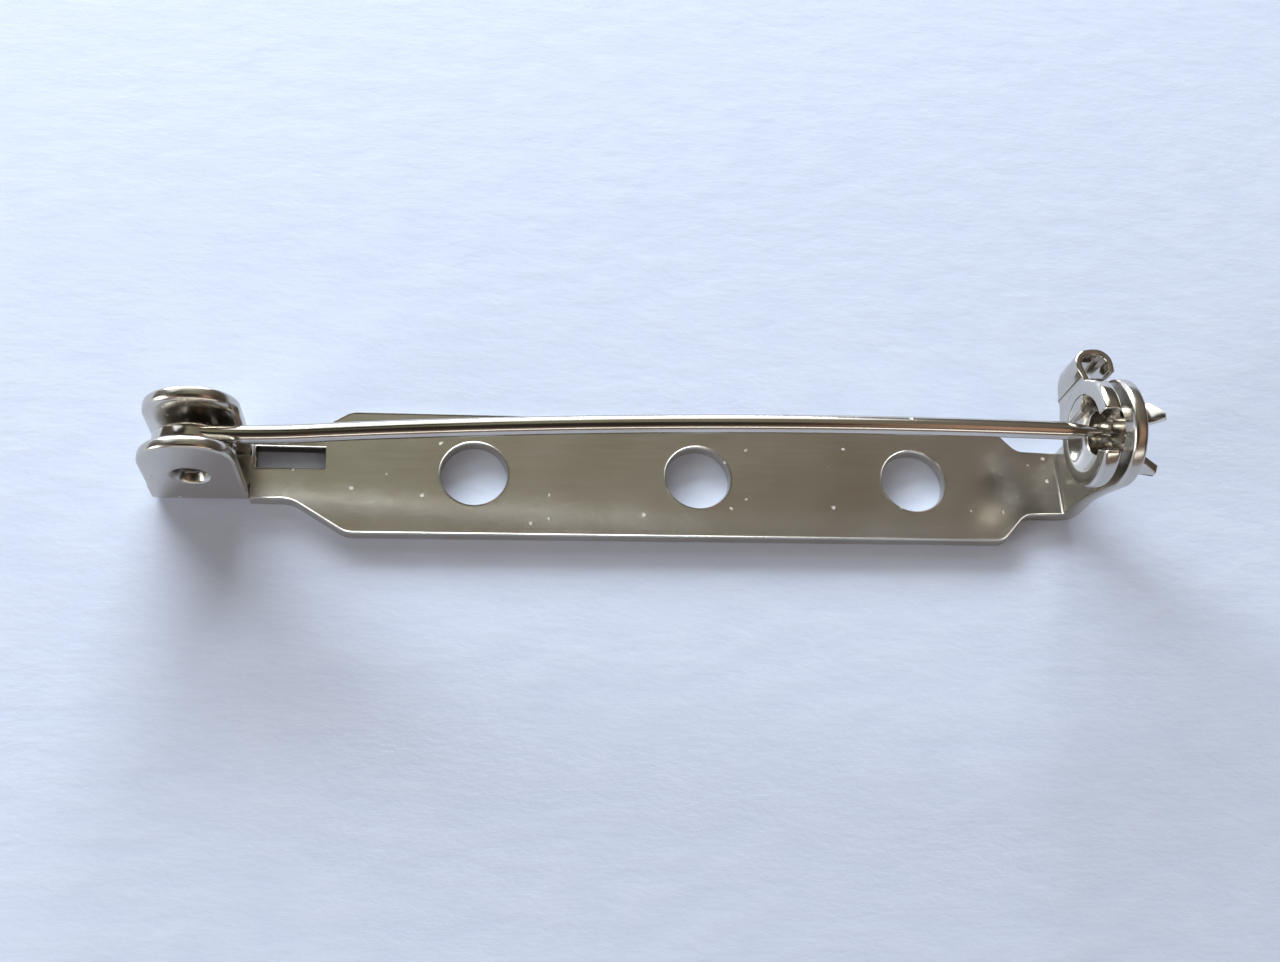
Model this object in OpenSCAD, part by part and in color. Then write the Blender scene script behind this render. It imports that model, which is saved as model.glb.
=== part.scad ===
// Brooch pin finding: a stamped bar with three holes, a hinged wire pin and a turning safety catch.
// Millimetres. The bar lies on its flat back in the plane z = 0. The origin is under the middle hole.
// +X runs along the bar from the hinge to the catch, +Z points away from the brooch.

/* [Bar] */
// Thickness of the sheet that the bar is stamped from
sheet_t = 0.55; // [0.5:0.05:0.65]
// Width of the bar
bar_w = 5.1; // [4.8:0.1:6]
// Hinge end of the full-width part of the bar
bar_x0 = -13.6; // [-14:0.1:-12.5]
// Catch end of the full-width part of the bar
bar_x1 = 12.3; // [11.5:0.1:12.5]
// Diameter of the three fixing holes
hole_d = 2.55; // [1.8:0.05:3]
// Distance between neighbouring fixing holes
hole_pitch = 8.8; // [8:0.1:9.5]

/* [Hinge] */
// Place of the pivot along the bar
pivot_x = -19; // [-19.4:0.1:-18.8]
// Height of the pivot above the top of the bar
pivot_h = 2.1; // [2:0.05:2.2]
// Clear width between the two ears
ear_gap = 1.3; // [1.1:0.05:1.5]
// Length of an ear along the bar
ear_len = 3.5; // [3.3:0.1:3.8]
// Height of an ear above the top of the bar
ear_h = 4.7; // [4.5:0.1:5.2]
// Radius of the dimple bumps that carry the eye of the pin
bump_r = 0.6; // [0.5:0.05:0.65]

/* [Pin] */
// Diameter of the pin wire
wire_d = 0.68; // [0.6:0.02:0.7]
// Radius of the long bow of the stem
bow_r = 140; // [130:1:150]
// Place of the highest point of the bow along the bar
bow_x = 9; // [8:0.5:10]
// Height of the middle of the wire at its highest point, above the top of the bar
bow_h = 5.52; // [5.47:0.01:5.57]
// Place of the sharp tip along the bar
tip_x = 14.8; // [14.6:0.05:14.85]

/* [Catch] */
// Height of the catch axis above the top of the bar
catch_h = 4.9; // [4.8:0.05:5]
// Radius of the round head of the upright and of the flange of the rotor
head_r = 2.05; // [1.9:0.05:2.1]
// Radius of the hub of the rotor
hub_r = 1.15; // [1.1:0.05:1.2]
// Direction of the mouth of the rotor, in degrees from the far side towards the top
mouth_deg = 119; // [115:1:122]

/* [Hidden] */
$fn = 96;
eps = 0.01;

// Plan of the bar
neck_x = -15.7;
neck_w = ear_gap + 2 * sheet_t;
tab_x = bar_x1 + 1.05;
tab_w = 2.84;
slot_x1 = -14.5;
slot_y0 = 0.1;
slot_y1 = 0.98;

// Folds: the inner radius of every bend and the outer one that follows from the sheet
bend_in = 0.12;
bend_out = bend_in + sheet_t;

// Ears
ear_x0 = pivot_x - ear_len / 2;
ear_x1 = pivot_x + ear_len / 2;
ear_back_r = ear_len / 2 + 0.05;
ear_front_r = ear_len / 2 - 0.3;
ear_top_z = sheet_t + ear_h;
slot_x0 = ear_x1 + 0.05;
pivot_z = sheet_t + pivot_h;
bump_tip_r = 0.5;
bump_gap = 0.3;
dimple_r = 0.85;
dimple_floor_r = 0.4;
dimple_depth = 0.42;

// Upright of the catch, with its front face towards the pin
upright_x0 = 14.95;
catch_z = sheet_t + catch_h;
shoulder_z = sheet_t + 1.9;
bore_play = 0.08;

// Eye and stem of the pin
eye_t = 0.6;
eye_in_r = bump_r + 0.08;
eye_out_r = 1.5;
eye_mid_r = 1.1;
curl_r = 21;
bow_z = sheet_t + bow_h - bow_r;
stem_z = pivot_z + eye_mid_r;
stem_yaw = 0.34;
join_deg = acos((bow_r + curl_r - (sheet_t + bow_h - stem_z)) / (bow_r + curl_r));
join_x = bow_x - bow_r * sin(join_deg);
curl_x = join_x - curl_r * sin(join_deg);
eye_bite_x = pivot_x + 0.2;
draw = 0.01;
lap = 0.1;
lap_deg = lap / bow_r * 180 / PI;
point_len = 1.9;
point_r = 0.03;

// Rotor, along the catch axis
flange_x0 = 13.9;
flange_x1 = 14.6;
hub_x1 = 15.75;
rotor_bore_r = 0.8;
bowl_mouth_r = 1.45;
bowl_depth = 0.5;
bowl_mid = (bowl_mouth_r ^ 2 - rotor_bore_r ^ 2 - bowl_depth ^ 2) / (2 * bowl_depth);
bowl_r = sqrt(bowl_mouth_r ^ 2 + bowl_mid ^ 2);
mouth_half = 0.5;
mouth_far_y = 0.08;
hub_end_t = 0.35;
petal_x1 = 16.5;
petal_tip_r = 1.75;
petals = [[62, 98], [164, 212]];
tab_curl_x0 = 13.7;
tab_curl_x1 = 15.2;
tab_curl_t = 0.25;
tab_curl_w = 1.5;
tab_curl_top = 3.2;
tab_curl_r = (tab_curl_x1 - tab_curl_x0) / 2;
tab_root_r = 1.75;
tab_free_r = 2.22;
web_foot = [0.8, -1.85];
web_side = [2.05, -1.6];

// A square with its two lower corners rounded, standing on the line y = 0
module round_bottomed(half_w, y0, y1, r) {
    translate([-half_w, y0 + r]) square([2 * half_w, y1 - y0 - r]);
    translate([-half_w + r, y0]) square([2 * (half_w - r), r + eps]);
    for (side = [-1, 1]) translate([side * (half_w - r), y0 + r]) circle(r = r);
}

// Flat outline of the blank between the ears and the fold of the upright
module blank_outline() {
    polygon([
        [ear_x1 - eps, -neck_w / 2],
        [neck_x, -neck_w / 2],
        [bar_x0, -bar_w / 2],
        [bar_x1, -bar_w / 2],
        [tab_x, -tab_w / 2],
        [upright_x0 - bend_in, -tab_w / 2],
        [upright_x0 - bend_in, tab_w / 2],
        [tab_x, tab_w / 2],
        [bar_x1, bar_w / 2],
        [bar_x0, bar_w / 2],
        [neck_x, neck_w / 2],
        [ear_x1 - eps, neck_w / 2]
    ]);
}

// The flat bar with its three fixing holes
module flat_bar() {
    difference() {
        linear_extrude(sheet_t) blank_outline();
        for (i = [-1, 0, 1])
            translate([i * hole_pitch, 0, -1]) cylinder(d = hole_d, h = sheet_t + 2);
    }
}

// Side view of an ear: its top is rounder at the end of the part than towards the bar
module ear_side() {
    back_x = ear_x0 + ear_back_r;
    front_x = ear_x1 - ear_front_r;
    back_z = ear_top_z - ear_back_r;
    translate([ear_x0, -1]) square([ear_len, back_z + 1]);
    translate([back_x, back_z - eps]) square([ear_x1 - back_x, ear_back_r - ear_front_r + eps]);
    translate([back_x, back_z]) square([front_x - back_x, ear_back_r]);
    translate([back_x, back_z]) circle(r = ear_back_r);
    translate([front_x, ear_top_z - ear_front_r]) circle(r = ear_front_r);
}

// Two ears folded up from the neck: a U section trimmed to the round-topped side view
module ears() {
    intersection() {
        translate([ear_x0, 0, 0]) rotate([90, 0, 90]) linear_extrude(ear_len) difference() {
            round_bottomed(neck_w / 2, 0, ear_top_z, bend_out);
            round_bottomed(ear_gap / 2, sheet_t, ear_top_z + 1, bend_in);
        }
        translate([0, neck_w, 0]) rotate([90, 0, 0]) linear_extrude(2 * neck_w) ear_side();
    }
}

// Bumps pushed in from the ears, which are the hinge pin of the eye
module pivot_bumps() {
    bump_len = (ear_gap - bump_gap) / 2;
    for (side = [-1, 1])
        translate([pivot_x, side * (ear_gap / 2 + eps), pivot_z]) rotate([90 * side, 0, 0]) union() {
            cylinder(r = bump_r, h = bump_len / 2 + eps);
            translate([0, 0, bump_len / 2]) cylinder(r1 = bump_r, r2 = bump_tip_r, h = bump_len / 2);
        }
}

// Dimples left in the outer faces of the ears by the punch
module dimples() {
    for (side = [-1, 1])
        translate([pivot_x, side * (neck_w / 2 + eps), pivot_z]) rotate([90 * side, 0, 0])
            cylinder(r1 = dimple_r, r2 = dimple_floor_r, h = dimple_depth);
}

// Quarter bend between the tab and the upright
module upright_bend() {
    translate([upright_x0 - bend_in, tab_w / 2, bend_out]) rotate([90, 0, 0]) linear_extrude(tab_w)
        intersection() {
            difference() {
                circle(r = bend_out);
                circle(r = bend_in);
            }
            translate([0, -bend_out]) square([bend_out, bend_out]);
        }
}

// Upright with its round head and the bore that carries the rotor
module upright() {
    translate([upright_x0, 0, 0]) rotate([90, 0, 90]) linear_extrude(sheet_t) difference() {
        union() {
            translate([0, catch_z]) circle(r = head_r);
            polygon([
                [-tab_w / 2, bend_out],
                [tab_w / 2, bend_out],
                [tab_w / 2, shoulder_z],
                [head_r - 0.1, catch_z - 0.6],
                [0.1 - head_r, catch_z - 0.6],
                [-tab_w / 2, shoulder_z]
            ]);
        }
        translate([0, catch_z]) circle(r = hub_r + bore_play);
    }
}

// One stamped and folded piece of sheet
module base_bar() {
    color("#8d8878") difference() {
        union() {
            flat_bar();
            ears();
            pivot_bumps();
            upright_bend();
            upright();
        }
        dimples();
        translate([slot_x0, slot_y0, -1]) cube([slot_x1 - slot_x0, slot_y1 - slot_y0, sheet_t + 2]);
    }
}

// A length of bent wire: it starts at the origin along +X and curves towards +Z
module wire_arc(r, deg, d) {
    translate([0, 0, r]) rotate([90, 0, 0]) rotate([0, 0, -90])
        rotate_extrude(angle = deg, $fn = 1440) translate([r, 0]) circle(d = d, $fn = 32);
}

// Stem: a short run out of the eye, a tight upward curl, the long bow and the ground point.
// Each length is a hair thinner than the one before it, and starts a little way inside it.
module stem() {
    point_x = tip_x - point_len;
    point_rise = asin((point_x - bow_x) / bow_r);
    point_z = bow_z + bow_r * cos(point_rise);
    point_run = point_len / cos(point_rise);
    translate([eye_bite_x, 0, stem_z]) rotate([0, 90, 0])
        cylinder(d = wire_d, h = curl_x - eye_bite_x + lap, $fn = 32);
    translate([curl_x, 0, stem_z]) wire_arc(curl_r, join_deg, wire_d - draw);
    translate([point_x, 0, point_z]) rotate([0, point_rise, 0]) mirror([0, 0, 1]) mirror([1, 0, 0])
        wire_arc(bow_r, join_deg + point_rise + lap_deg, wire_d - 2 * draw);
    translate([point_x, 0, point_z]) rotate([0, 90 + point_rise, 0]) translate([0, 0, -lap])
        cylinder(d1 = wire_d - 3 * draw, d2 = 2 * point_r, h = lap + point_run, $fn = 32);
}

// Steel wire pin with its flattened eye
module pin_stem() {
    color("#a79f9b") difference() {
        union() {
            translate([pivot_x, eye_t / 2, pivot_z]) rotate([90, 0, 0])
                cylinder(r = eye_out_r, h = eye_t);
            translate([pivot_x, 0, 0]) rotate([0, 0, -stem_yaw]) translate([-pivot_x, 0, 0]) stem();
        }
        translate([pivot_x, eye_t, pivot_z]) rotate([90, 0, 0]) cylinder(r = eye_in_r, h = 2 * eye_t);
    }
}

// Mouth of the rotor: its far wall is upright, so that the stem can rise straight out of it
module mouth() {
    reach = 2 * head_r;
    near = [-mouth_half * sin(mouth_deg), mouth_half * cos(mouth_deg)];
    polygon([
        [mouth_far_y, 0],
        [mouth_far_y, reach],
        near + reach * [cos(mouth_deg), sin(mouth_deg)],
        near
    ]);
}

// Flange with its hollow face, the closed hub and the flared petals, turned about the z axis
module rotor_body() {
    bore_len = hub_x1 - hub_end_t - flange_x0;
    difference() {
        union() {
            translate([0, 0, flange_x0]) cylinder(r = head_r, h = flange_x1 - flange_x0);
            translate([0, 0, flange_x0 + 0.2]) cylinder(r = hub_r, h = hub_x1 - flange_x0 - 0.2);
            translate([0, 0, flange_x0]) linear_extrude(tab_curl_t) thumb_web();
        }
        translate([0, 0, flange_x0 - bowl_mid]) sphere(r = bowl_r);
        translate([0, 0, flange_x0]) cylinder(r = rotor_bore_r, h = bore_len);
        translate([0, 0, flange_x0 - 1]) linear_extrude(bore_len + 1) mouth();
    }
    for (petal = petals) rotate([0, 0, petal[0]]) rotate_extrude(angle = petal[1] - petal[0]) polygon([
        [rotor_bore_r, hub_x1 - hub_end_t],
        [hub_r, hub_x1 - hub_end_t],
        [petal_tip_r, petal_x1 - hub_end_t / 2],
        [petal_tip_r - hub_end_t, petal_x1],
        [rotor_bore_r, hub_x1]
    ]);
}

// Web that widens the foot of the thumb tab on its lower side
module thumb_web() {
    tab_y = tab_curl_top - tab_curl_r + 0.3;
    polygon([
        [0.9, 0],
        web_foot,
        web_side,
        [tab_y, -tab_curl_w / 2],
        [tab_y, tab_curl_w / 2 - 0.2],
        [tab_root_r, tab_curl_w / 2 - 0.2]
    ]);
}

// Thumb tab: a strip that rises from the flange and curls back over the rim of the upright
module thumb_tab() {
    mid_x = (tab_curl_x0 + tab_curl_x1) / 2;
    mid_r = tab_curl_top - tab_curl_r;
    translate([0, tab_curl_w / 2, 0]) rotate([90, 0, 0]) linear_extrude(tab_curl_w) union() {
        intersection() {
            translate([mid_r, mid_x]) difference() {
                circle(r = tab_curl_r);
                circle(r = tab_curl_r - tab_curl_t);
            }
            translate([mid_r, tab_curl_x0]) square([tab_curl_r, 2 * tab_curl_r]);
        }
        translate([tab_root_r, tab_curl_x0]) square([mid_r - tab_root_r + eps, tab_curl_t]);
        translate([tab_free_r, tab_curl_x1 - tab_curl_t]) square([mid_r - tab_free_r + eps, tab_curl_t]);
    }
}

// Turning part of the safety catch, with its mouth open
module catch_rotor() {
    color("#b4b4b6") translate([0, 0, catch_z]) rotate([90, 0, 90]) union() {
        rotor_body();
        thumb_tab();
    }
}

base_bar();
pin_stem();
catch_rotor();
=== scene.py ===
import math

import bmesh
import bpy
from mathutils import Matrix, Vector


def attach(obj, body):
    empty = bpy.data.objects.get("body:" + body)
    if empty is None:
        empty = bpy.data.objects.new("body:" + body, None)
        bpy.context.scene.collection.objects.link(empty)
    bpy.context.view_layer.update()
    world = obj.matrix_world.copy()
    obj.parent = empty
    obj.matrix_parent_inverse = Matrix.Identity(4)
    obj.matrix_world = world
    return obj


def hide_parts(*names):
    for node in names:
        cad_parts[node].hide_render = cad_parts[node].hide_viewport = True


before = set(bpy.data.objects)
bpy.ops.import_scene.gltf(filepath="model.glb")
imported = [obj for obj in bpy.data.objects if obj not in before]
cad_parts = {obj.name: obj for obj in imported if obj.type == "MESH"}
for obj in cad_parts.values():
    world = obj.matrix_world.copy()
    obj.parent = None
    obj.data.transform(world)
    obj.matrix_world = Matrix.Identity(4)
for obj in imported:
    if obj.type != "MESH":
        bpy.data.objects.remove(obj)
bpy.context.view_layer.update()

bl_info = {
    "name": "Brooch Pin Finding",
    "version": (1, 0, 0),
    "blender": (4, 5, 0),
    "location": "View3D > Sidebar > Brooch Pin",
    "description": "Builds the plated bar, wire pin and turning catch of a brooch pin finding",
    "category": "Object",
}

MM = 0.001

# Places in the frame of the part, in millimetres
EAR_X0, EAR_X1 = -20.75, -17.25
PIVOT_X, PIVOT_Z = -19.0, 2.65
NECK_X, NECK_Y = -15.7, 1.2
BAR_X0, BAR_X1 = -13.6, 12.3
TAB_X, TAB_Y = 13.35, 1.42
BEND_IN = 0.12
FOLD_X = 14.95 - BEND_IN
EAR_FOLD_Y = 0.65 - BEND_IN
EAR_BACK_R, EAR_FRONT_R = 1.8, 1.45
SHOULDER_RISE = 1.65
CATCH_Z = 5.45
SLOT = (-17.08, -14.5, 0.1, 0.98)
BORE_R = 1.23
BOW_X, BOW_R, BOW_Z = 9.0, 140.0, 6.07
CURL_R = 21.0
EYE_IN_R, EYE_MID_R, EYE_OUT_R, EYE_HALF = 0.68, 1.1, 1.5, 0.3
POINT_X, TIP_X = 12.9, 14.8
STEM_YAW = 0.34
HUB_R, HUB_BORE_R = 1.15, 0.8
FLANGE_X0, FLANGE_X1 = 13.9, 14.6
TAB_CURL_X, TAB_CURL_Y, TAB_HALF_Z = 14.56, 2.56, 0.75
# Directions of the catch's C-shaped flange about its axis, and the planes that its mouth's two walls lie in
FLANGE_DEG = (145, 445)
MOUTH_LEAN_DEG, MOUTH_NEAR, MOUTH_FAR_Y = 119, 0.5, 0.08


def linear(hex_text):
    """An sRGB hex colour as linear red, green and blue."""
    values = [int(hex_text[i : i + 2], 16) / 255 for i in (1, 3, 5)]
    return tuple(v / 12.92 if v <= 0.04045 else ((v + 0.055) / 1.055) ** 2.4 for v in values)


def add_node(tree, kind, inputs=None, **settings):
    """Adds one node with its settings; an input is given as a value or as the socket that feeds it."""
    made = tree.nodes.new(kind)
    for name, value in settings.items():
        setattr(made, name, value)
    for key, value in (inputs or {}).items():
        if isinstance(value, bpy.types.NodeSocket):
            tree.links.new(value, made.inputs[key])
        else:
            made.inputs[key].default_value = value
    return made


def per_mm(size):
    """Texture scale for a pattern whose features are this many millimetres apart."""
    return 1000.0 / size


class BroochPinSizes(bpy.types.PropertyGroup):
    sheet: bpy.props.FloatProperty(
        name="Sheet", description="Thickness of the stamped sheet", default=0.00055, unit="LENGTH",
        precision=5)
    bar_width: bpy.props.FloatProperty(
        name="Bar width", description="Width of the bar", default=0.0051, unit="LENGTH", precision=5)
    hole: bpy.props.FloatProperty(
        name="Fixing hole", description="Diameter of a fixing hole", default=0.00255, unit="LENGTH",
        precision=5)
    hole_pitch: bpy.props.FloatProperty(
        name="Hole pitch", description="Distance between fixing holes", default=0.0088, unit="LENGTH",
        precision=5)
    ear_height: bpy.props.FloatProperty(
        name="Ear height", description="Height of an ear above the bar's back", default=0.00525,
        unit="LENGTH", precision=5)
    wire: bpy.props.FloatProperty(
        name="Wire", description="Diameter of the pin wire", default=0.00068, unit="LENGTH", precision=5)
    head: bpy.props.FloatProperty(
        name="Catch head", description="Radius of the catch's round head", default=0.00205, unit="LENGTH",
        precision=5)


class BroochPinFinishes(bpy.types.PropertyGroup):
    nickel: bpy.props.FloatVectorProperty(
        name="Nickel", description="Colour of the clean plating", default=linear("#D3CFC8"), subtype="COLOR",
        min=0, max=1)
    nickel_dull: bpy.props.FloatVectorProperty(
        name="Dulled nickel", description="Colour of the handled plating", default=linear("#BDB6AA"),
        subtype="COLOR", min=0, max=1)
    paper: bpy.props.FloatVectorProperty(
        name="Paper", description="Colour of the pale floor", default=linear("#E2EAFC"), subtype="COLOR",
        min=0, max=1)
    sheet_roughness: bpy.props.FloatProperty(
        name="Sheet roughness", description="Roughness of the plating on the stamped bar", default=0.24,
        min=0.02, max=0.6, subtype="FACTOR")
    wire_roughness: bpy.props.FloatProperty(
        name="Wire and catch roughness", description="Roughness of the plating on the wire and the catch",
        default=0.15, min=0.02, max=0.6, subtype="FACTOR")


# Nickel, barrel-plated over stamped sheet or drawn wire of steel: a warm grey, satin on the bar and brighter
# on the wire and the catch, faintly wavy from the metal below it. It has rolling or drawing lines and pale
# pits and flecks, and painted shade darkens the pits of the hinge and the walls of the slot.
def nickel_plate(name, rough, grain, grain_mm, pits, tone=0.5):
    finish = bpy.context.scene.brooch_pin_finishes
    made = bpy.data.materials.new(name)
    made.use_nodes = True
    tree = made.node_tree
    tree.nodes.clear()
    place = add_node(tree, "ShaderNodeTexCoord").outputs["Object"]
    # Cloudy film of handling and lacquer, patches about 4 mm across
    cloud = add_node(tree, "ShaderNodeTexNoise", {"Vector": place, "Scale": per_mm(4.0), "Detail": 3.0})
    # Rolling lines, or drawing lines on the wire, about a tenth of a millimetre apart
    lines_at = add_node(tree, "ShaderNodeMapping", {"Vector": place, "Scale": grain})
    lines = add_node(
        tree, "ShaderNodeTexNoise",
        {"Vector": lines_at.outputs[0], "Scale": per_mm(grain_mm), "Detail": 4.0, "Roughness": 0.6})
    # Orange peel of the plating, 0.5 mm across
    peel = add_node(tree, "ShaderNodeTexNoise", {"Vector": place, "Scale": per_mm(0.5), "Detail": 2.0})
    # Pits and flecks: one cell in many of a 0.7 mm pattern carries a ragged fleck of about 0.1 mm
    warp = add_node(tree, "ShaderNodeTexNoise", {"Vector": place, "Scale": per_mm(0.12), "Detail": 2.0})
    shift = add_node(
        tree, "ShaderNodeMix", {"Factor": 0.00016, "A": place, "B": warp.outputs["Color"]},
        data_type="VECTOR")
    cells = add_node(
        tree, "ShaderNodeTexVoronoi", {"Vector": shift.outputs["Result"], "Scale": per_mm(0.7)})
    near = add_node(
        tree, "ShaderNodeMapRange",
        {"Value": cells.outputs["Distance"], "From Min": 0.05, "From Max": 0.13, "To Min": 1.0,
         "To Max": 0.0})
    pick = add_node(tree, "ShaderNodeSeparateColor", {"Color": cells.outputs["Color"]})
    chosen = add_node(
        tree, "ShaderNodeMath", {0: pick.outputs[0], 1: 1.0 - pits * 0.34}, operation="GREATER_THAN")
    fleck = add_node(tree, "ShaderNodeMath", {0: near.outputs[0], 1: chosen.outputs[0]}, operation="MULTIPLY")
    dull = add_node(
        tree, "ShaderNodeMapRange",
        {"Value": cloud.outputs["Fac"], "From Min": 0.35, "From Max": 0.7, "To Min": tone - 0.35,
         "To Max": tone + 0.35})
    plate = add_node(
        tree, "ShaderNodeMix",
        {"Factor": dull.outputs[0], "A": (*finish.nickel, 1), "B": (*finish.nickel_dull, 1)},
        data_type="RGBA")
    # Painted shade in the pits of the hinge, round the eye and the bumps of the ears, most of it 0.4 to 0.5
    # mm from the axis
    aside = add_node(tree, "ShaderNodeVectorMath", {0: place, 1: (1, 0, 1)}, operation="MULTIPLY")
    from_axis = add_node(
        tree, "ShaderNodeVectorMath", {0: aside.outputs[0], 1: (PIVOT_X * MM, 0, PIVOT_Z * MM)},
        operation="DISTANCE")
    inside = add_node(
        tree, "ShaderNodeMapRange",
        {"Value": from_axis.outputs["Value"], "From Min": 0.0005, "From Max": 0.0007, "To Min": 0.85,
         "To Max": 0.0}, interpolation_type="SMOOTHSTEP")
    beyond = add_node(
        tree, "ShaderNodeMapRange",
        {"Value": from_axis.outputs["Value"], "From Min": 0.00015, "From Max": 0.0004, "To Min": 0.25,
         "To Max": 1.0})
    painted_shade = add_node(
        tree, "ShaderNodeMath", {0: inside.outputs[0], 1: beyond.outputs[0]}, operation="MULTIPLY")
    # The same painted shade on the walls of the slot, below its unshaded top edges
    x0, x1, y0, y1 = SLOT
    from_slot = add_node(
        tree, "ShaderNodeVectorMath", {0: place, 1: ((x0 + x1) / 2 * MM, (y0 + y1) / 2 * MM, 0)},
        operation="SUBTRACT")
    span = add_node(tree, "ShaderNodeVectorMath", {0: from_slot.outputs[0]}, operation="ABSOLUTE")
    side = add_node(tree, "ShaderNodeSeparateXYZ", {"Vector": span.outputs[0]})
    walls = 0.9
    for axis, reach in (("X", (x1 - x0) / 2 + 0.06), ("Y", (y1 - y0) / 2 + 0.06), ("Z", 0.48)):
        within = add_node(
            tree, "ShaderNodeMath", {0: side.outputs[axis], 1: reach * MM}, operation="LESS_THAN")
        walls = add_node(
            tree, "ShaderNodeMath", {0: within.outputs[0], 1: walls}, operation="MULTIPLY").outputs[0]
    painted_shade = add_node(tree, "ShaderNodeMath", {0: painted_shade.outputs[0], 1: walls}, operation="MAXIMUM")
    # Painted shade: the plate is darkened towards #3B342E inside the hinge and slot masks
    shaded_plate = add_node(
        tree, "ShaderNodeMix",
        {"Factor": painted_shade.outputs[0], "A": plate.outputs["Result"], "B": (*linear("#3B342E"), 1)},
        data_type="RGBA")
    colour = add_node(
        tree, "ShaderNodeMix",
        {"Factor": fleck.outputs[0], "A": shaded_plate.outputs["Result"], "B": (*linear("#E4DED5"), 1)},
        data_type="RGBA")
    gloss = add_node(
        tree, "ShaderNodeMapRange",
        {"Value": lines.outputs["Fac"], "From Min": 0.3, "From Max": 0.7, "To Min": rough * 0.92,
         "To Max": rough * 1.1})
    flat = add_node(
        tree, "ShaderNodeMath", {0: gloss.outputs[0], 1: fleck.outputs[0], 2: gloss.outputs[0]},
        operation="MULTIPLY_ADD")
    height = add_node(
        tree, "ShaderNodeMath", {0: lines.outputs["Fac"], 1: 0.1, 2: peel.outputs["Fac"]},
        operation="MULTIPLY_ADD")
    relief = add_node(
        tree, "ShaderNodeMath", {0: fleck.outputs[0], 1: -2.5, 2: height.outputs[0]},
        operation="MULTIPLY_ADD")
    bump = add_node(
        tree, "ShaderNodeBump", {"Height": relief.outputs[0], "Strength": 0.5, "Distance": 0.000006})
    metal = add_node(tree, "ShaderNodeMath", {0: 1.0, 1: fleck.outputs[0]}, operation="SUBTRACT")
    shader = add_node(
        tree, "ShaderNodeBsdfPrincipled",
        {"Base Color": colour.outputs["Result"], "Metallic": metal.outputs[0], "Roughness": flat.outputs[0],
         "Normal": bump.outputs[0]})
    add_node(tree, "ShaderNodeOutputMaterial", {"Surface": shader.outputs[0]})
    return made


# Uncoated drawing paper: matt, bluish white, with short fibres that show as a faint relief
def drawing_paper():
    finish = bpy.context.scene.brooch_pin_finishes
    made = bpy.data.materials.new("uncoated_paper")
    made.use_nodes = True
    tree = made.node_tree
    tree.nodes.clear()
    place = add_node(tree, "ShaderNodeTexCoord").outputs["Object"]
    along = add_node(tree, "ShaderNodeMapping", {"Vector": place, "Scale": (0.45, 1.0, 1.0)})
    fibre = add_node(
        tree, "ShaderNodeTexNoise",
        {"Vector": along.outputs[0], "Scale": per_mm(1.1), "Detail": 5.0, "Roughness": 0.62})
    tint = add_node(
        tree, "ShaderNodeMix",
        {"Factor": fibre.outputs["Fac"], "A": (*linear("#D2DCF4"), 1), "B": (*finish.paper, 1)},
        data_type="RGBA")
    bump = add_node(
        tree, "ShaderNodeBump", {"Height": fibre.outputs["Fac"], "Strength": 0.6, "Distance": 0.00006})
    shader = add_node(
        tree, "ShaderNodeBsdfPrincipled",
        {"Base Color": tint.outputs["Result"], "Roughness": 0.85, "Normal": bump.outputs[0]})
    add_node(tree, "ShaderNodeOutputMaterial", {"Surface": shader.outputs[0]})
    return made


def place_piece(bm, name, material, body, node):
    """Closes a mesh drawn in millimetres, turns it to metres and hands it to the frame."""
    bmesh.ops.recalc_face_normals(bm, faces=bm.faces)
    bmesh.ops.scale(bm, vec=(MM, MM, MM), verts=bm.verts)
    mesh = bpy.data.meshes.new(name)
    bm.to_mesh(mesh)
    bm.free()
    mesh.shade_smooth()
    mesh.set_sharp_from_angle(angle=math.radians(42))
    mesh.materials.append(material)
    piece = bpy.data.objects.new(name, mesh)
    bpy.context.collection.objects.link(piece)
    weighted = piece.modifiers.new("even_flats", "WEIGHTED_NORMAL")
    weighted.keep_sharp = True
    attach(piece, body)
    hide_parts(node)


def verts_of(geom):
    return [g for g in geom if isinstance(g, bmesh.types.BMVert)]


def edges_of(geom):
    return [g for g in geom if isinstance(g, bmesh.types.BMEdge)]


def pen(bm, at, points):
    """Draws straight edges on from a vertex through the points and returns the last vertex."""
    for point in points:
        step = bmesh.ops.extrude_vert_indiv(bm, verts=[at])
        at = step["verts"][0]
        at.co = Vector((point[0], point[1], 0))
    return at


def pen_arc(bm, at, centre, degrees, steps):
    """Draws an arc on from a vertex about a centre and returns its last vertex."""
    swept = bmesh.ops.spin(
        bm, geom=[at], cent=(*centre, 0), axis=(0, 0, 1), angle=math.radians(degrees), steps=steps)
    return verts_of(swept["geom_last"])[0]


def cut(bm, faces, place, way):
    """Scores faces along a plane without parting them."""
    geom = list(dict.fromkeys(part for f in faces for part in (f, *f.edges, *f.verts)))
    bmesh.ops.bisect_plane(bm, geom=geom, plane_co=place, plane_no=way)


def sharp_edges(bm, degrees, keep=lambda edge: True):
    """Edges of a closed mesh that turn by more than an angle."""
    limit = math.radians(degrees)
    return [e for e in bm.edges if len(e.link_faces) == 2 and e.calc_face_angle(0) > limit and keep(e)]


def soften(bm, edges, radius, segments=3):
    """Rounds edges with a bevel."""
    bmesh.ops.bevel(
        bm, geom=edges, offset=radius, segments=segments, profile=0.5, affect="EDGES", material=-1,
        clamp_overlap=False)


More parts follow.
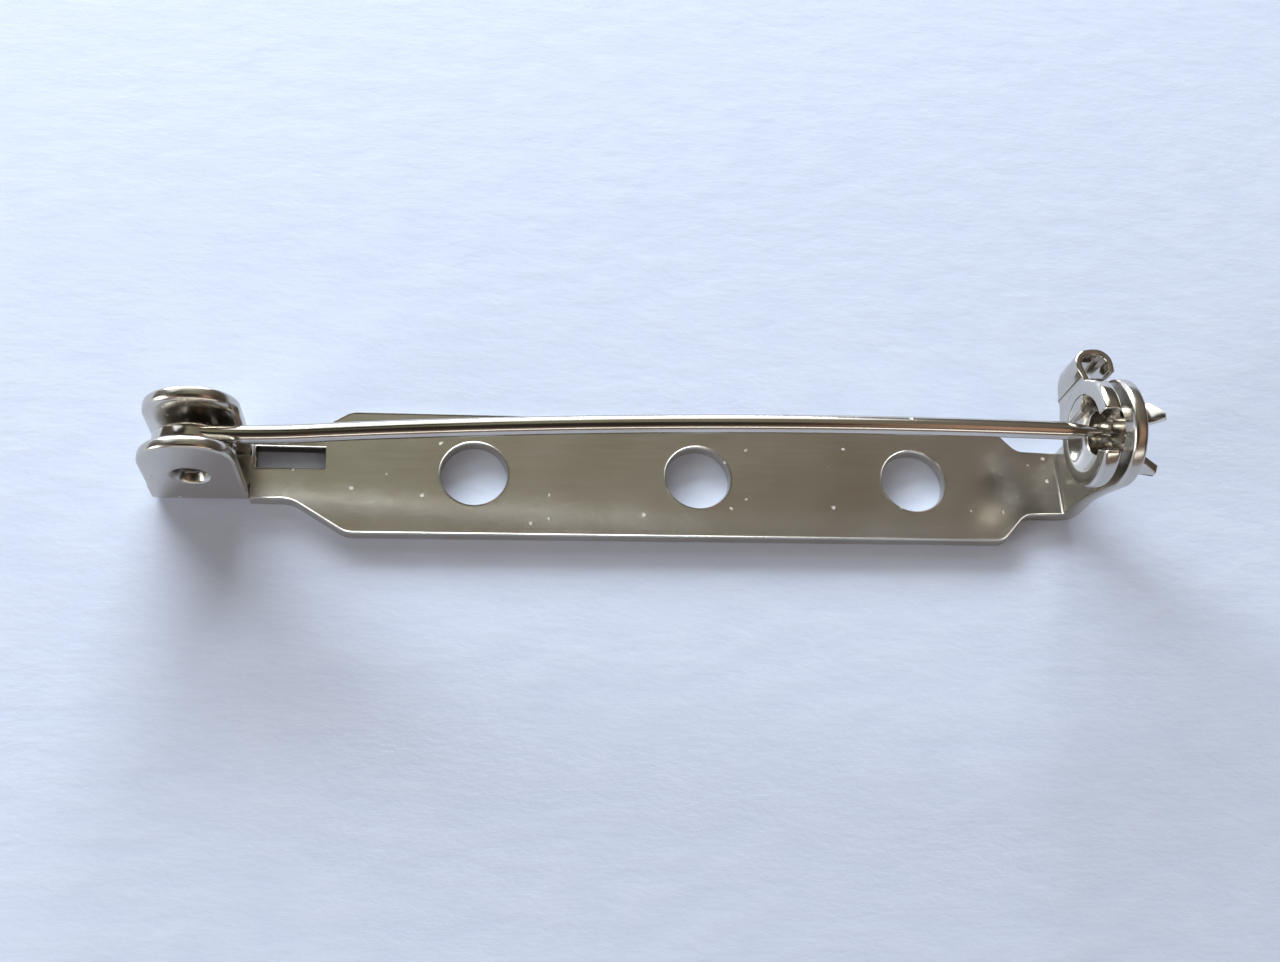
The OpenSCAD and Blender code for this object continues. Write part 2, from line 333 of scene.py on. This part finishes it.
def flat_blank(bm, sizes, arc_len, ear_rise, head_rise):
    """The stamped blank before folding, as faces in the plan: bar, ears spread out sideways, tab flat."""
    half = sizes.bar_width / MM / 2
    hole_r, pitch = sizes.hole / MM / 2, sizes.hole_pitch / MM
    ear_top = EAR_FOLD_Y + arc_len + ear_rise
    head_r = sizes.head / MM
    head_x = FOLD_X + arc_len + head_rise
    neck_end = EAR_X1 + 0.04
    start = bm.verts.new((EAR_X0, 0, 0))
    at = start
    for middle, radius in ((-pitch, hole_r), (0, hole_r), (pitch, hole_r), (head_x, BORE_R)):
        at = pen(bm, at, [(middle - radius, 0)])
        at = pen_arc(bm, at, (middle, 0), -180, 36)
    at = pen(bm, at, [(head_x + head_r, 0)])
    at = pen_arc(bm, at, (head_x, 0), 107, 30)
    at = pen(bm, at, [
        (FOLD_X + arc_len + SHOULDER_RISE, TAB_Y), (TAB_X, TAB_Y), (BAR_X1, half), (BAR_X0, half),
        (NECK_X, NECK_Y), (neck_end, NECK_Y), (neck_end, EAR_FOLD_Y), (EAR_X1, EAR_FOLD_Y),
        (EAR_X1, ear_top - EAR_FRONT_R)])
    at = pen_arc(bm, at, (EAR_X1 - EAR_FRONT_R, ear_top - EAR_FRONT_R), 90, 16)
    at = pen(bm, at, [(EAR_X0 + EAR_BACK_R, ear_top)])
    at = pen_arc(bm, at, (EAR_X0 + EAR_BACK_R, ear_top - EAR_BACK_R), 90, 18)
    bm.edges.new((at, start))
    bmesh.ops.contextual_create(bm, geom=bm.edges[:])
    bmesh.ops.mirror(bm, geom=bm.verts[:] + bm.edges[:] + bm.faces[:], axis="Y", merge_dist=0.001)
    bmesh.ops.remove_doubles(bm, verts=bm.verts, dist=0.001)
    # Slot in the neck
    x0, x1, y0, y1 = SLOT
    for x in (x0, x1):
        cut(bm, bm.faces[:], (x, 0, 0), (1, 0, 0))
    for y in (y0, y1):
        neck = [f for f in bm.faces if x0 < f.calc_center_median().x < x1 and f.calc_center_median().y > 0]
        cut(bm, neck, (0, y, 0), (0, 1, 0))
    slug = [f for f in bm.faces if all(
        x0 - 0.001 < v.co.x < x1 + 0.001 and y0 - 0.001 < v.co.y < y1 + 0.001 for v in f.verts)]
    bmesh.ops.delete(bm, geom=slug, context="FACES")
    # Round patch in each ear for its dimple
    dimple_y = EAR_FOLD_Y + arc_len + PIVOT_Z - BEND_IN - sizes.sheet / MM
    for side in (-1, 1):
        for y in (dimple_y - 1, dimple_y + 1):
            ear = [f for f in bm.faces if f.calc_center_median().x < EAR_X1]
            cut(bm, ear, (0, side * y, 0), (0, 1, 0))
        for x in (PIVOT_X - 1, PIVOT_X + 1):
            band = [f for f in bm.faces if f.calc_center_median().x < EAR_X1
                    and all(abs(v.co.y * side - dimple_y) < 1.001 for v in f.verts)]
            cut(bm, band, (x, 0, 0), (1, 0, 0))
        middle = Vector((PIVOT_X, side * dimple_y, 0))
        patch = min(bm.faces, key=lambda f: (f.calc_center_bounds() - middle).length + f.calc_area() / 10)
        bmesh.ops.subdivide_edges(bm, edges=patch.edges[:], cuts=9)
        for v in patch.verts:
            v.co = middle + (v.co - middle).normalized() * 0.98
        for width in (0.14, 0.08, *[0.04] * 9, 0.08, 0.1, 0.1):
            bmesh.ops.inset_region(bm, faces=[patch], thickness=width, use_even_offset=True)
    return dimple_y


def fold(bm, sheet):
    """Folds the ears and the tab up: a point past a fold line winds round the bend, then stands upright."""
    arc_len = (BEND_IN + sheet / 2) * math.pi / 2
    centre = BEND_IN + sheet
    for v in bm.verts:
        x, y, t = v.co
        if x < EAR_X1 + 0.01 and abs(y) > EAR_FOLD_Y:
            side, run = math.copysign(1, y), abs(y) - EAR_FOLD_Y
            turn = min(run / arc_len, 1) * math.pi / 2
            out = EAR_FOLD_Y + (centre - t) * math.sin(turn)
            up = centre - (centre - t) * math.cos(turn) + max(run - arc_len, 0)
            v.co = Vector((x, side * out, up))
        elif x > FOLD_X:
            run = x - FOLD_X
            turn = min(run / arc_len, 1) * math.pi / 2
            out = FOLD_X + (centre - t) * math.sin(turn)
            up = centre - (centre - t) * math.cos(turn) + max(run - arc_len, 0)
            v.co = Vector((out, y, up))


class BROOCHPIN_OT_bar(bpy.types.Operator):
    """Builds the stamped and folded bar with its ears and the upright of the catch"""

    bl_idname = "object.brooch_pin_bar"
    bl_label = "Stamped Bar"

    def execute(self, context):
        sizes = context.scene.brooch_pin_sizes
        sheet = sizes.sheet / MM
        half = sizes.bar_width / MM / 2
        arc_len = (BEND_IN + sheet / 2) * math.pi / 2
        bend_top = BEND_IN + sheet
        bm = bmesh.new()
        dimple_y = flat_blank(bm, sizes, arc_len, sizes.ear_height / MM - bend_top, CATCH_Z - bend_top)
        if not bm.faces:
            raise RuntimeError("the blank of the bar was not filled")
        whole = bmesh.ops.extrude_face_region(bm, geom=bm.faces[:], use_keep_orig=True)
        bmesh.ops.translate(bm, vec=(0, 0, sheet), verts=verts_of(whole["geom"]))
        bmesh.ops.recalc_face_normals(bm, faces=bm.faces)
        # Corners of the plan, rounded by the punch
        corners = [((NECK_X, NECK_Y), 0.3), ((BAR_X0, half), 0.25), ((BAR_X1, half), 0.25),
                   ((TAB_X, TAB_Y), 0.3), ((FOLD_X + arc_len + SHOULDER_RISE, TAB_Y), 1.0)]
        for (x, y), radius in corners:
            posts = [e for e in bm.edges
                     if all(abs(v.co.x - x) < 0.01 and abs(abs(v.co.y) - y) < 0.01 for v in e.verts)
                     and abs(e.verts[0].co.z - e.verts[1].co.z) > sheet / 2]
            soften(bm, posts, radius, 5)
        # Rims: rolled over by the punch, nearly square on the back, in the slot and in the bore of the catch
        head_x = FOLD_X + arc_len + CATCH_Z - bend_top

        def rim(edge, level):
            flat = all(abs(v.co.z - level) < 0.001 for v in edge.verts)
            notch = all(abs(v.co.x - EAR_X1 - 0.02) < 0.03 and abs(v.co.y) < 1.25 for v in edge.verts)
            return flat and not notch

        def tight(edge):
            slot = all(SLOT[0] - 0.01 < v.co.x < SLOT[1] + 0.01 and 0 < v.co.y < 1.1 for v in edge.verts)
            return slot or all(math.hypot(v.co.x - head_x, v.co.y) < BORE_R + 0.01 for v in edge.verts)

        def seen(edge):
            return all(
                v.co.x > FOLD_X + 2 or (v.co.x < EAR_X1 + 0.01 and abs(v.co.y) > 1.2) for v in edge.verts)

        def ear(edge):
            return all(v.co.x < EAR_X1 + 0.01 and abs(v.co.y) > EAR_FOLD_Y - 0.01 for v in edge.verts)

        def head(edge):
            return all(v.co.x > FOLD_X + arc_len + 0.3 for v in edge.verts)

        def roll(level, radius, segments, keep=lambda edge: True):
            soften(bm, sharp_edges(bm, 60, lambda e: rim(e, level) and keep(e)), radius, segments)

        roll(sheet, 0.26, 5, ear)
        roll(sheet, 0.16, 4, lambda e: head(e) and not tight(e))
        roll(sheet, 0.12, 3, lambda e: not tight(e))
        roll(sheet, 0.05, 2, tight)
        # Burr of the punch: a low ridge that stands along the rims of the bar and of its holes
        ridge, foot = 0.045, 0.02
        for v in bm.verts:
            below = sheet - v.co.z
            if EAR_X1 + 0.1 < v.co.x < FOLD_X - 0.2 and 0.005 < below < 0.08:
                v.co.z += ridge if below < 0.03 else foot
        roll(0, 0.14, 4, lambda e: seen(e) and not tight(e))
        roll(0, 0.05, 2)
        cut(bm, bm.faces[:], (EAR_X1 + 0.02, 0, 0), (1, 0, 0))
        # Dimples of the hinge: a steep pit with a raised floor in the outer face, a bump on the inner one
        pit_r, pit_wall, pit_depth, floor_r, floor_rise = 0.74, 0.32, 0.4, 0.4, 0.06
        bump_r, bump_wall, bump_height = 0.66, 0.14, 0.5
        for v in bm.verts:
            away = math.hypot(v.co.x - PIVOT_X, abs(v.co.y) - dimple_y)
            if away < 0.95:
                if v.co.z < sheet / 2:
                    share = min(max((pit_r - away) / pit_wall, 0), 1)
                    v.co.z += (pit_depth * share * share * (3 - 2 * share)
                               - floor_rise * max(1 - (away / floor_r) ** 2, 0))
                else:
                    v.co.z += bump_height * min(max((bump_r - away) / bump_wall, 0), 1)
        # Scores for the folds
        for step in range(11):
            run = arc_len * step / 10
            for side in (-1, 1):
                ear = [f for f in bm.faces if f.calc_center_bounds().x < EAR_X1
                       and all(v.co.x < EAR_X1 + 0.021 for v in f.verts)]
                cut(bm, ear, (0, side * (EAR_FOLD_Y + run), 0), (0, 1, 0))
            tab = [f for f in bm.faces if any(v.co.x > FOLD_X for v in f.verts)]
            cut(bm, tab, (FOLD_X + run, 0, 0), (1, 0, 0))
        fold(bm, sheet)
        material = nickel_plate(
            "nickel_plated_sheet", context.scene.brooch_pin_finishes.sheet_roughness, grain=(0.06, 1.0, 0.3),
            grain_mm=0.1, pits=1.0)
        place_piece(bm, "stamped_bar", material, "base", "base_bar")
        return {"FINISHED"}


def sweep(bm, loop, centre, degrees, steps):
    """Carries a loop of wire section round an axis across the bar and returns the new loop."""
    swept = bmesh.ops.spin(
        bm, geom=loop, cent=centre, axis=(0, 1, 0), angle=math.radians(degrees), steps=steps)
    return swept["geom_last"]


def push(bm, loop, by, scale=1.0):
    """Extrudes a loop by a vector, scaled about its middle, and returns the new loop."""
    grown = bmesh.ops.extrude_edge_only(bm, edges=edges_of(loop))["geom"]
    fresh = verts_of(grown)
    bmesh.ops.translate(bm, vec=by, verts=fresh)
    middle = sum((v.co for v in fresh), Vector()) / len(fresh)
    bmesh.ops.scale(bm, vec=(scale, scale, scale), verts=fresh, space=Matrix.Translation(-middle))
    return fresh + [e for e in edges_of(grown) if all(v in fresh for v in e.verts)]


class BROOCHPIN_OT_pin(bpy.types.Operator):
    """Builds the wire pin: the flattened eye, the bowed stem and the ground point"""

    bl_idname = "object.brooch_pin_wire"
    bl_label = "Wire Pin"

    def execute(self, context):
        sizes = context.scene.brooch_pin_sizes
        radius = sizes.wire / MM / 2
        stem_z = PIVOT_Z + EYE_MID_R
        reach = BOW_R + CURL_R
        turn = math.degrees(math.acos((reach - (BOW_Z - stem_z)) / reach))
        join_x = BOW_X - BOW_R * math.sin(math.radians(turn))
        curl_x = join_x - CURL_R * math.sin(math.radians(turn))
        rise = math.degrees(math.asin((POINT_X - BOW_X) / BOW_R))
        # The wire is pressed a little thinner where it runs out of the eye
        pressed = 0.84
        begin = Matrix.Translation((PIVOT_X + 0.2, 0, stem_z)) @ Matrix.Rotation(math.pi / 2, 4, "Y")
        bm = bmesh.new()
        circle = bmesh.ops.create_circle(bm, radius=radius, segments=32, matrix=begin)["verts"]
        bmesh.ops.scale(bm, vec=(1, pressed, 1), verts=circle)
        start = bm.edges[:]
        loop = push(bm, circle + start, (0.3, 0, 0))
        loop = push(bm, loop, (curl_x - PIVOT_X - 0.5, 0, 0))
        bmesh.ops.scale(bm, vec=(1, 1 / pressed, 1), verts=verts_of(loop))
        loop = sweep(bm, loop, (curl_x, 0, stem_z + CURL_R), -turn, 10)
        loop = sweep(bm, loop, (BOW_X, 0, BOW_Z - BOW_R), turn + rise, 60)
        # Ground point: a slim cone whose side is slightly full
        lean = math.radians(rise)
        steps = 10
        run = (TIP_X - POINT_X) / steps
        full = [(1 - (i / steps) ** 1.25) * 0.92 + 0.08 for i in range(steps + 1)]
        for i in range(steps):
            loop = push(bm, loop, (run, 0, -run * math.tan(lean)), full[i + 1] / full[i])
        bmesh.ops.contextual_create(bm, geom=edges_of(loop))
        bmesh.ops.contextual_create(bm, geom=start)
        bmesh.ops.rotate(
            bm, verts=bm.verts, cent=(PIVOT_X, 0, 0), matrix=Matrix.Rotation(math.radians(-STEM_YAW), 3, "Z"))
        # Eye: a flat ring round the bumps of the ears
        corners = [bm.verts.new((PIVOT_X, y, PIVOT_Z + r)) for y, r in (
            (-EYE_HALF, EYE_IN_R), (EYE_HALF, EYE_IN_R), (EYE_HALF, EYE_OUT_R), (-EYE_HALF, EYE_OUT_R))]
        sides = [bm.edges.new((corners[i], corners[(i + 1) % 4])) for i in range(4)]
        bmesh.ops.spin(
            bm, geom=corners + sides, cent=(PIVOT_X, 0, PIVOT_Z), axis=(0, 1, 0), angle=math.tau, steps=64,
            use_merge=True)
        bmesh.ops.remove_doubles(bm, verts=bm.verts, dist=0.0005)
        bmesh.ops.recalc_face_normals(bm, faces=bm.faces)
        rims = sharp_edges(bm, 60, lambda e: all(
            math.hypot(v.co.x - PIVOT_X, v.co.z - PIVOT_Z) < EYE_OUT_R + 0.01
            and abs(abs(v.co.y) - EYE_HALF) < 0.001 for v in e.verts))
        soften(bm, rims, 0.12, 4)
        material = nickel_plate(
            "nickel_plated_wire", context.scene.brooch_pin_finishes.wire_roughness, grain=(0.04, 1.0, 1.0),
            grain_mm=0.09, pits=0.15, tone=0.4)
        place_piece(bm, "wire_pin", material, "pin", "pin_stem")
        return {"FINISHED"}


def lathe(bm, profile, from_deg, to_deg, steps):
    """Turns a closed profile of (x, radius) points about the catch axis between two directions, with both
    ends capped. A direction is counted from the far side, +Y, towards the top, +Z."""
    at = math.radians(from_deg)
    points = [bm.verts.new((x, r * math.cos(at), CATCH_Z + r * math.sin(at))) for x, r in profile]
    sides = [bm.edges.new((points[i], points[(i + 1) % len(points)])) for i in range(len(points))]
    swept = bmesh.ops.spin(
        bm, geom=points + sides, cent=(0, 0, CATCH_Z), axis=(1, 0, 0), angle=math.radians(to_deg - from_deg),
        steps=steps)
    bmesh.ops.contextual_create(bm, geom=sides)
    bmesh.ops.contextual_create(bm, geom=edges_of(swept["geom_last"]))


def mouth_walls(bm, from_deg, to_deg):
    """Swings the two walls of the mouth from radial to their real planes: the near one leans, the far one
    is upright."""
    for v in bm.verts:
        y, z = v.co.y, v.co.z - CATCH_Z
        r = math.hypot(y, z)
        if r < MOUTH_NEAR:
            continue
        at = math.degrees(math.atan2(z, y))
        while at < from_deg - 1:
            at += 360
        share = (at - from_deg) / (to_deg - from_deg)
        near = MOUTH_LEAN_DEG + math.degrees(math.asin(MOUTH_NEAR / r))
        far = 360 + math.degrees(math.acos(MOUTH_FAR_Y / r))
        now = math.radians(near + share * (far - near))
        v.co.y = r * math.cos(now)
        v.co.z = CATCH_Z + r * math.sin(now)


def join_shell(bm, part, rim):
    """Rounds the sharp edges of a closed shell and adds it to the piece."""
    bmesh.ops.recalc_face_normals(part, faces=part.faces)
    soften(part, sharp_edges(part, 50), rim, 3)
    carrier = bpy.data.meshes.new("shell")
    part.to_mesh(carrier)
    part.free()
    bm.from_mesh(carrier)
    bpy.data.meshes.remove(carrier)


def hub_end():
    """The closed end of the hub, a hair slimmer than the hub so that their sides don't lie in one face."""
    radius, thick, middle_x = 1.145, 0.39, 15.555
    part = bmesh.new()
    bmesh.ops.create_cone(
        part, cap_ends=True, segments=64, radius1=radius, radius2=radius, depth=thick,
        matrix=Matrix.Translation((middle_x, 0, CATCH_Z)) @ Matrix.Rotation(math.pi / 2, 4, "Y"))
    return part


def petal(from_deg, to_deg, tip_deg):
    """A leaf bent outwards from the end of the hub, narrowed to a rounded tip."""
    part = bmesh.new()
    section = [(15.42, HUB_BORE_R), (15.42, 1.13), (16.325, 1.75), (16.5, 1.4), (15.74, HUB_BORE_R)]
    lathe(part, section, from_deg, to_deg, 12)
    bmesh.ops.recalc_face_normals(part, faces=part.faces)
    cut(part, part.faces[:], (15.95, 0, 0), (1, 0, 0))
    tip, narrow = math.radians(tip_deg), 0.2
    for v in part.verts:
        if v.co.x > 15.96:
            y, z = v.co.y, v.co.z - CATCH_Z
            r, at = math.hypot(y, z), math.atan2(z, y) % math.tau
            at = tip + (at - tip) * narrow
            v.co.y, v.co.z = r * math.cos(at), CATCH_Z + r * math.sin(at)
    tips = [e for e in sharp_edges(part, 60) if all(v.co.x > 16.3 for v in e.verts)
            and abs(e.verts[0].co.x - e.verts[1].co.x) > 0.05]
    soften(part, tips, 0.08, 4)
    return part


def thumb_tab():
    """The thumb tab: a plate that widens towards the flange and curls back over the rim of the upright."""
    part = bmesh.new()
    start = part.verts.new((0.9, 0, 0))
    at = pen(part, start, [
        (0.8, -1.85), (1.45, -1.85), (2.05, -1.55), (TAB_CURL_Y, -1.05), (TAB_CURL_Y, TAB_HALF_Z),
        (1.75, TAB_HALF_Z)])
    part.edges.new((at, start))
    face = bmesh.ops.contextual_create(part, geom=part.edges[:])["faces"]
    plate = bmesh.ops.extrude_face_region(part, geom=face, use_keep_orig=True)
    bmesh.ops.translate(part, vec=(0, 0, 0.25), verts=verts_of(plate["geom"]))
    # From the drawing plane to the plane of the flange: drawn x is y, drawn y is z, drawn z is x
    turn = Matrix(((0, 0, 1, 13.92), (1, 0, 0, 0), (0, 1, 0, CATCH_Z), (0, 0, 0, 1)))
    bmesh.ops.transform(part, matrix=turn, verts=part.verts)
    top = [f for f in part.faces if all(abs(v.co.y - TAB_CURL_Y) < 0.001 for v in f.verts)]
    loop = list(top[0].verts) + list(top[0].edges)
    bmesh.ops.delete(part, geom=top, context="FACES_ONLY")
    bend = bmesh.ops.spin(
        part, geom=loop, cent=(TAB_CURL_X, TAB_CURL_Y, CATCH_Z), axis=(0, 0, 1), angle=math.radians(-180),
        steps=20)
    loop = push(part, bend["geom_last"], (0, -0.34, 0))
    bmesh.ops.contextual_create(part, geom=edges_of(loop))
    # The plate tapers into the curl and leans towards the pin as it nears it
    for y in (1.75, 1.9, 2.05, 2.2, 2.35, 2.46):
        cut(part, part.faces[:], (0, y, 0), (0, 1, 0))
    for v in part.verts:
        x, y, z = v.co
        if (x > TAB_CURL_X or y > TAB_CURL_Y) and z < CATCH_Z:
            taper = min(max((3.1 - y) / 0.54, 0), 1) if x < TAB_CURL_X else 0
            v.co.z = CATCH_Z - TAB_HALF_Z - 0.3 * taper
        if x < TAB_CURL_X:
            share = min(max((y - 1.75) / 0.8, 0), 1)
            v.co.x -= 0.22 * share * share * (3 - 2 * share) * min((TAB_CURL_X - x) / 0.31, 1)
    return part


class BROOCHPIN_OT_catch(bpy.types.Operator):
    """Builds the turning part of the catch: flange, hub, petals and thumb tab"""

    bl_idname = "object.brooch_pin_catch"
    bl_label = "Turning Catch"

    def execute(self, context):
        sizes = context.scene.brooch_pin_sizes
        head = sizes.head / MM
        bm = bmesh.new()
        # Hollow face: part of a ball whose middle lies on the axis, in front of the flange
        bowl_x, bowl_r = 12.6875, 1.8902
        bowl = [(bowl_x + math.sqrt(bowl_r ** 2 - r * r), r)
                for r in (HUB_BORE_R, 0.95, 1.1, 1.25, 1.36, 1.45)]
        profile = bowl + [(FLANGE_X0, head), (FLANGE_X1, head), (FLANGE_X1, HUB_R), (15.4, HUB_R),
                          (15.4, HUB_BORE_R)]
        lathe(bm, profile, *FLANGE_DEG, 96)
        mouth_walls(bm, *FLANGE_DEG)
        bmesh.ops.recalc_face_normals(bm, faces=bm.faces)
        rims = sharp_edges(bm, 60, lambda e: all(
            abs(math.hypot(v.co.y, v.co.z - CATCH_Z) - head) < 0.01 for v in e.verts)
            and abs(e.verts[0].co.x - e.verts[1].co.x) < 0.01)
        soften(bm, rims, 0.22, 6)
        soften(bm, sharp_edges(bm, 40), 0.045, 3)
        join_shell(bm, hub_end(), 0.05)
        for from_deg, to_deg, tip_deg in ((62, 98, 93), (164, 212, 172)):
            join_shell(bm, petal(from_deg, to_deg, tip_deg), 0.05)
        join_shell(bm, thumb_tab(), 0.07)
        material = nickel_plate(
            "nickel_plated_catch", context.scene.brooch_pin_finishes.wire_roughness, grain=(1.0, 0.3, 0.3),
            grain_mm=0.12, pits=0.25, tone=0.3)
        place_piece(bm, "turning_catch", material, "rotor", "catch_rotor")
        return {"FINISHED"}


def soft_box(name, at, size, watts, colour):
    """A rectangular studio light that faces the part."""
    light = bpy.data.lights.new(name, "AREA")
    light.shape = "RECTANGLE"
    light.size, light.size_y = size
    light.energy = watts
    light.color = colour
    lamp = bpy.data.objects.new(name, light)
    lamp.location = at
    lamp.rotation_euler = (Vector(at) - Vector((0, 0, 2 * MM))).to_track_quat("Z", "Y").to_euler()
    bpy.context.collection.objects.link(lamp)


class BROOCHPIN_OT_stage(bpy.types.Operator):
    """Sets up the pale floor, the soft lights and the camera"""

    bl_idname = "object.brooch_pin_stage"
    bl_label = "Stage"

    def execute(self, context):
        scene = context.scene
        bm = bmesh.new()
        bmesh.ops.create_grid(bm, x_segments=2, y_segments=2, size=3.0)
        bmesh.ops.translate(bm, vec=(0, 0, -0.00001), verts=bm.verts)
        mesh = bpy.data.meshes.new("floor")
        bm.to_mesh(mesh)
        bm.free()
        mesh.materials.append(drawing_paper())
        floor = bpy.data.objects.new("floor", mesh)
        context.collection.objects.link(floor)

        world = bpy.data.worlds.new("room")
        scene.world = world
        world.use_nodes = True
        tree = world.node_tree
        tree.nodes.clear()
        way = add_node(tree, "ShaderNodeTexCoord").outputs["Generated"]
        split = add_node(tree, "ShaderNodeSeparateXYZ", {"Vector": way})
        across = add_node(
            tree, "ShaderNodeMapRange",
            {"Value": split.outputs["X"], "From Min": -0.3, "From Max": 0.45, "To Min": 0, "To Max": 1})
        ceiling = add_node(
            tree, "ShaderNodeMix",
            {"Factor": across.outputs[0], "A": (*linear("#9C9B82"), 1), "B": (*linear("#7A7069"), 1)},
            data_type="RGBA").outputs["Result"]
        room = (*linear("#5A534B"), 1)
        # Soft shapes of the room round the part: direction, widest and full cosine, colour
        for toward, wide, full, colour in (
                ((0.05, 0.50, 0.86), 0.74, 0.90, ceiling),
                ((0.00, -0.90, 0.40), 0.45, 0.85, "#7E6C60"),
                ((0.85, -0.20, 0.40), 0.80, 0.95, "#4A423A"),
                ((0.36, -0.36, 0.86), 0.935, 0.975, "#C39E86"),
                ((-0.12, -0.39, 0.91), 0.87, 0.96, "#342F2C"),
                ((-0.46, 0.36, 0.81), 0.945, 0.98, "#2E2A26")):
            dot = add_node(
                tree, "ShaderNodeVectorMath", {0: way, 1: Vector(toward).normalized()},
                operation="DOT_PRODUCT")
            share = add_node(
                tree, "ShaderNodeMapRange",
                {"Value": dot.outputs["Value"], "From Min": wide, "From Max": full},
                interpolation_type="SMOOTHSTEP")
            shape = (*linear(colour), 1) if isinstance(colour, str) else colour
            room = add_node(
                tree, "ShaderNodeMix", {"Factor": share.outputs[0], "A": room, "B": shape},
                data_type="RGBA").outputs["Result"]
        sky = add_node(tree, "ShaderNodeBackground", {"Color": room, "Strength": 1.0})
        add_node(tree, "ShaderNodeOutputWorld", {"Surface": sky.outputs[0]})

        soft_box("window", (-0.085, 0.26, 0.098), (0.31, 0.088), 1.72, (0.86, 0.94, 1.0))
        soft_box("window_head", (-0.075, 0.22, 0.2), (0.37, 0.126), 0.23, (0.92, 0.96, 1.0))
        soft_box("left_wall", (-0.33, -0.11, 0.11), (0.22, 0.125), 0.5, (0.94, 0.97, 1.0))
        soft_box("front_strip", (0.03, -0.27, 0.118), (0.4, 0.045), 0.12, (1.0, 0.98, 0.94))

        # Camera: at the photograph's angle, 55.2 mm from the point that it looks at
        aim, away = Vector((-2.317, -0.195, 0.55)) * MM, 55.2 * MM
        az, el, roll = (math.radians(a) for a in (-17.61, 65.99, 17.15))
        back = Vector((math.sin(az) * math.cos(el), -math.cos(az) * math.cos(el), math.sin(el)))
        right = (-back).cross(Vector((0, 0, 1))).normalized()
        up = right.cross(-back)
        turned = right * math.cos(roll) + up * math.sin(roll)
        over = up * math.cos(roll) - right * math.sin(roll)
        lens = bpy.data.cameras.new("camera")
        lens.sensor_fit = "HORIZONTAL"
        lens.sensor_width = 36.0
        lens.lens = 39.49
        lens.clip_start = 0.002
        lens.clip_end = 10.0
        camera = bpy.data.objects.new("camera", lens)
        turn = Matrix((turned, over, back)).transposed().to_4x4()
        camera.matrix_world = Matrix.Translation(aim + back * away) @ turn
        context.collection.objects.link(camera)
        scene.camera = camera
        scene.view_settings.view_transform = "Standard"
        return {"FINISHED"}


class BROOCHPIN_PT_panel(bpy.types.Panel):
    bl_label = "Brooch Pin Finding"
    bl_idname = "BROOCHPIN_PT_panel"
    bl_space_type = "VIEW_3D"
    bl_region_type = "UI"
    bl_category = "Brooch Pin"

    def draw(self, context):
        column = self.layout.column()
        for group in (context.scene.brooch_pin_sizes, context.scene.brooch_pin_finishes):
            for name in group.__annotations__:
                column.prop(group, name)
        for operator in OPERATORS:
            column.operator(operator.bl_idname)


OPERATORS = (BROOCHPIN_OT_bar, BROOCHPIN_OT_pin, BROOCHPIN_OT_catch, BROOCHPIN_OT_stage)
CLASSES = (BroochPinSizes, BroochPinFinishes, *OPERATORS, BROOCHPIN_PT_panel)


def register():
    for cls in CLASSES:
        bpy.utils.register_class(cls)
    bpy.types.Scene.brooch_pin_sizes = bpy.props.PointerProperty(type=BroochPinSizes)
    bpy.types.Scene.brooch_pin_finishes = bpy.props.PointerProperty(type=BroochPinFinishes)


def unregister():
    del bpy.types.Scene.brooch_pin_finishes
    del bpy.types.Scene.brooch_pin_sizes
    for cls in reversed(CLASSES):
        bpy.utils.unregister_class(cls)


def main():
    register()
    bpy.ops.object.brooch_pin_bar()
    bpy.ops.object.brooch_pin_wire()
    bpy.ops.object.brooch_pin_catch()
    bpy.ops.object.brooch_pin_stage()


if __name__ == "__main__":
    main()
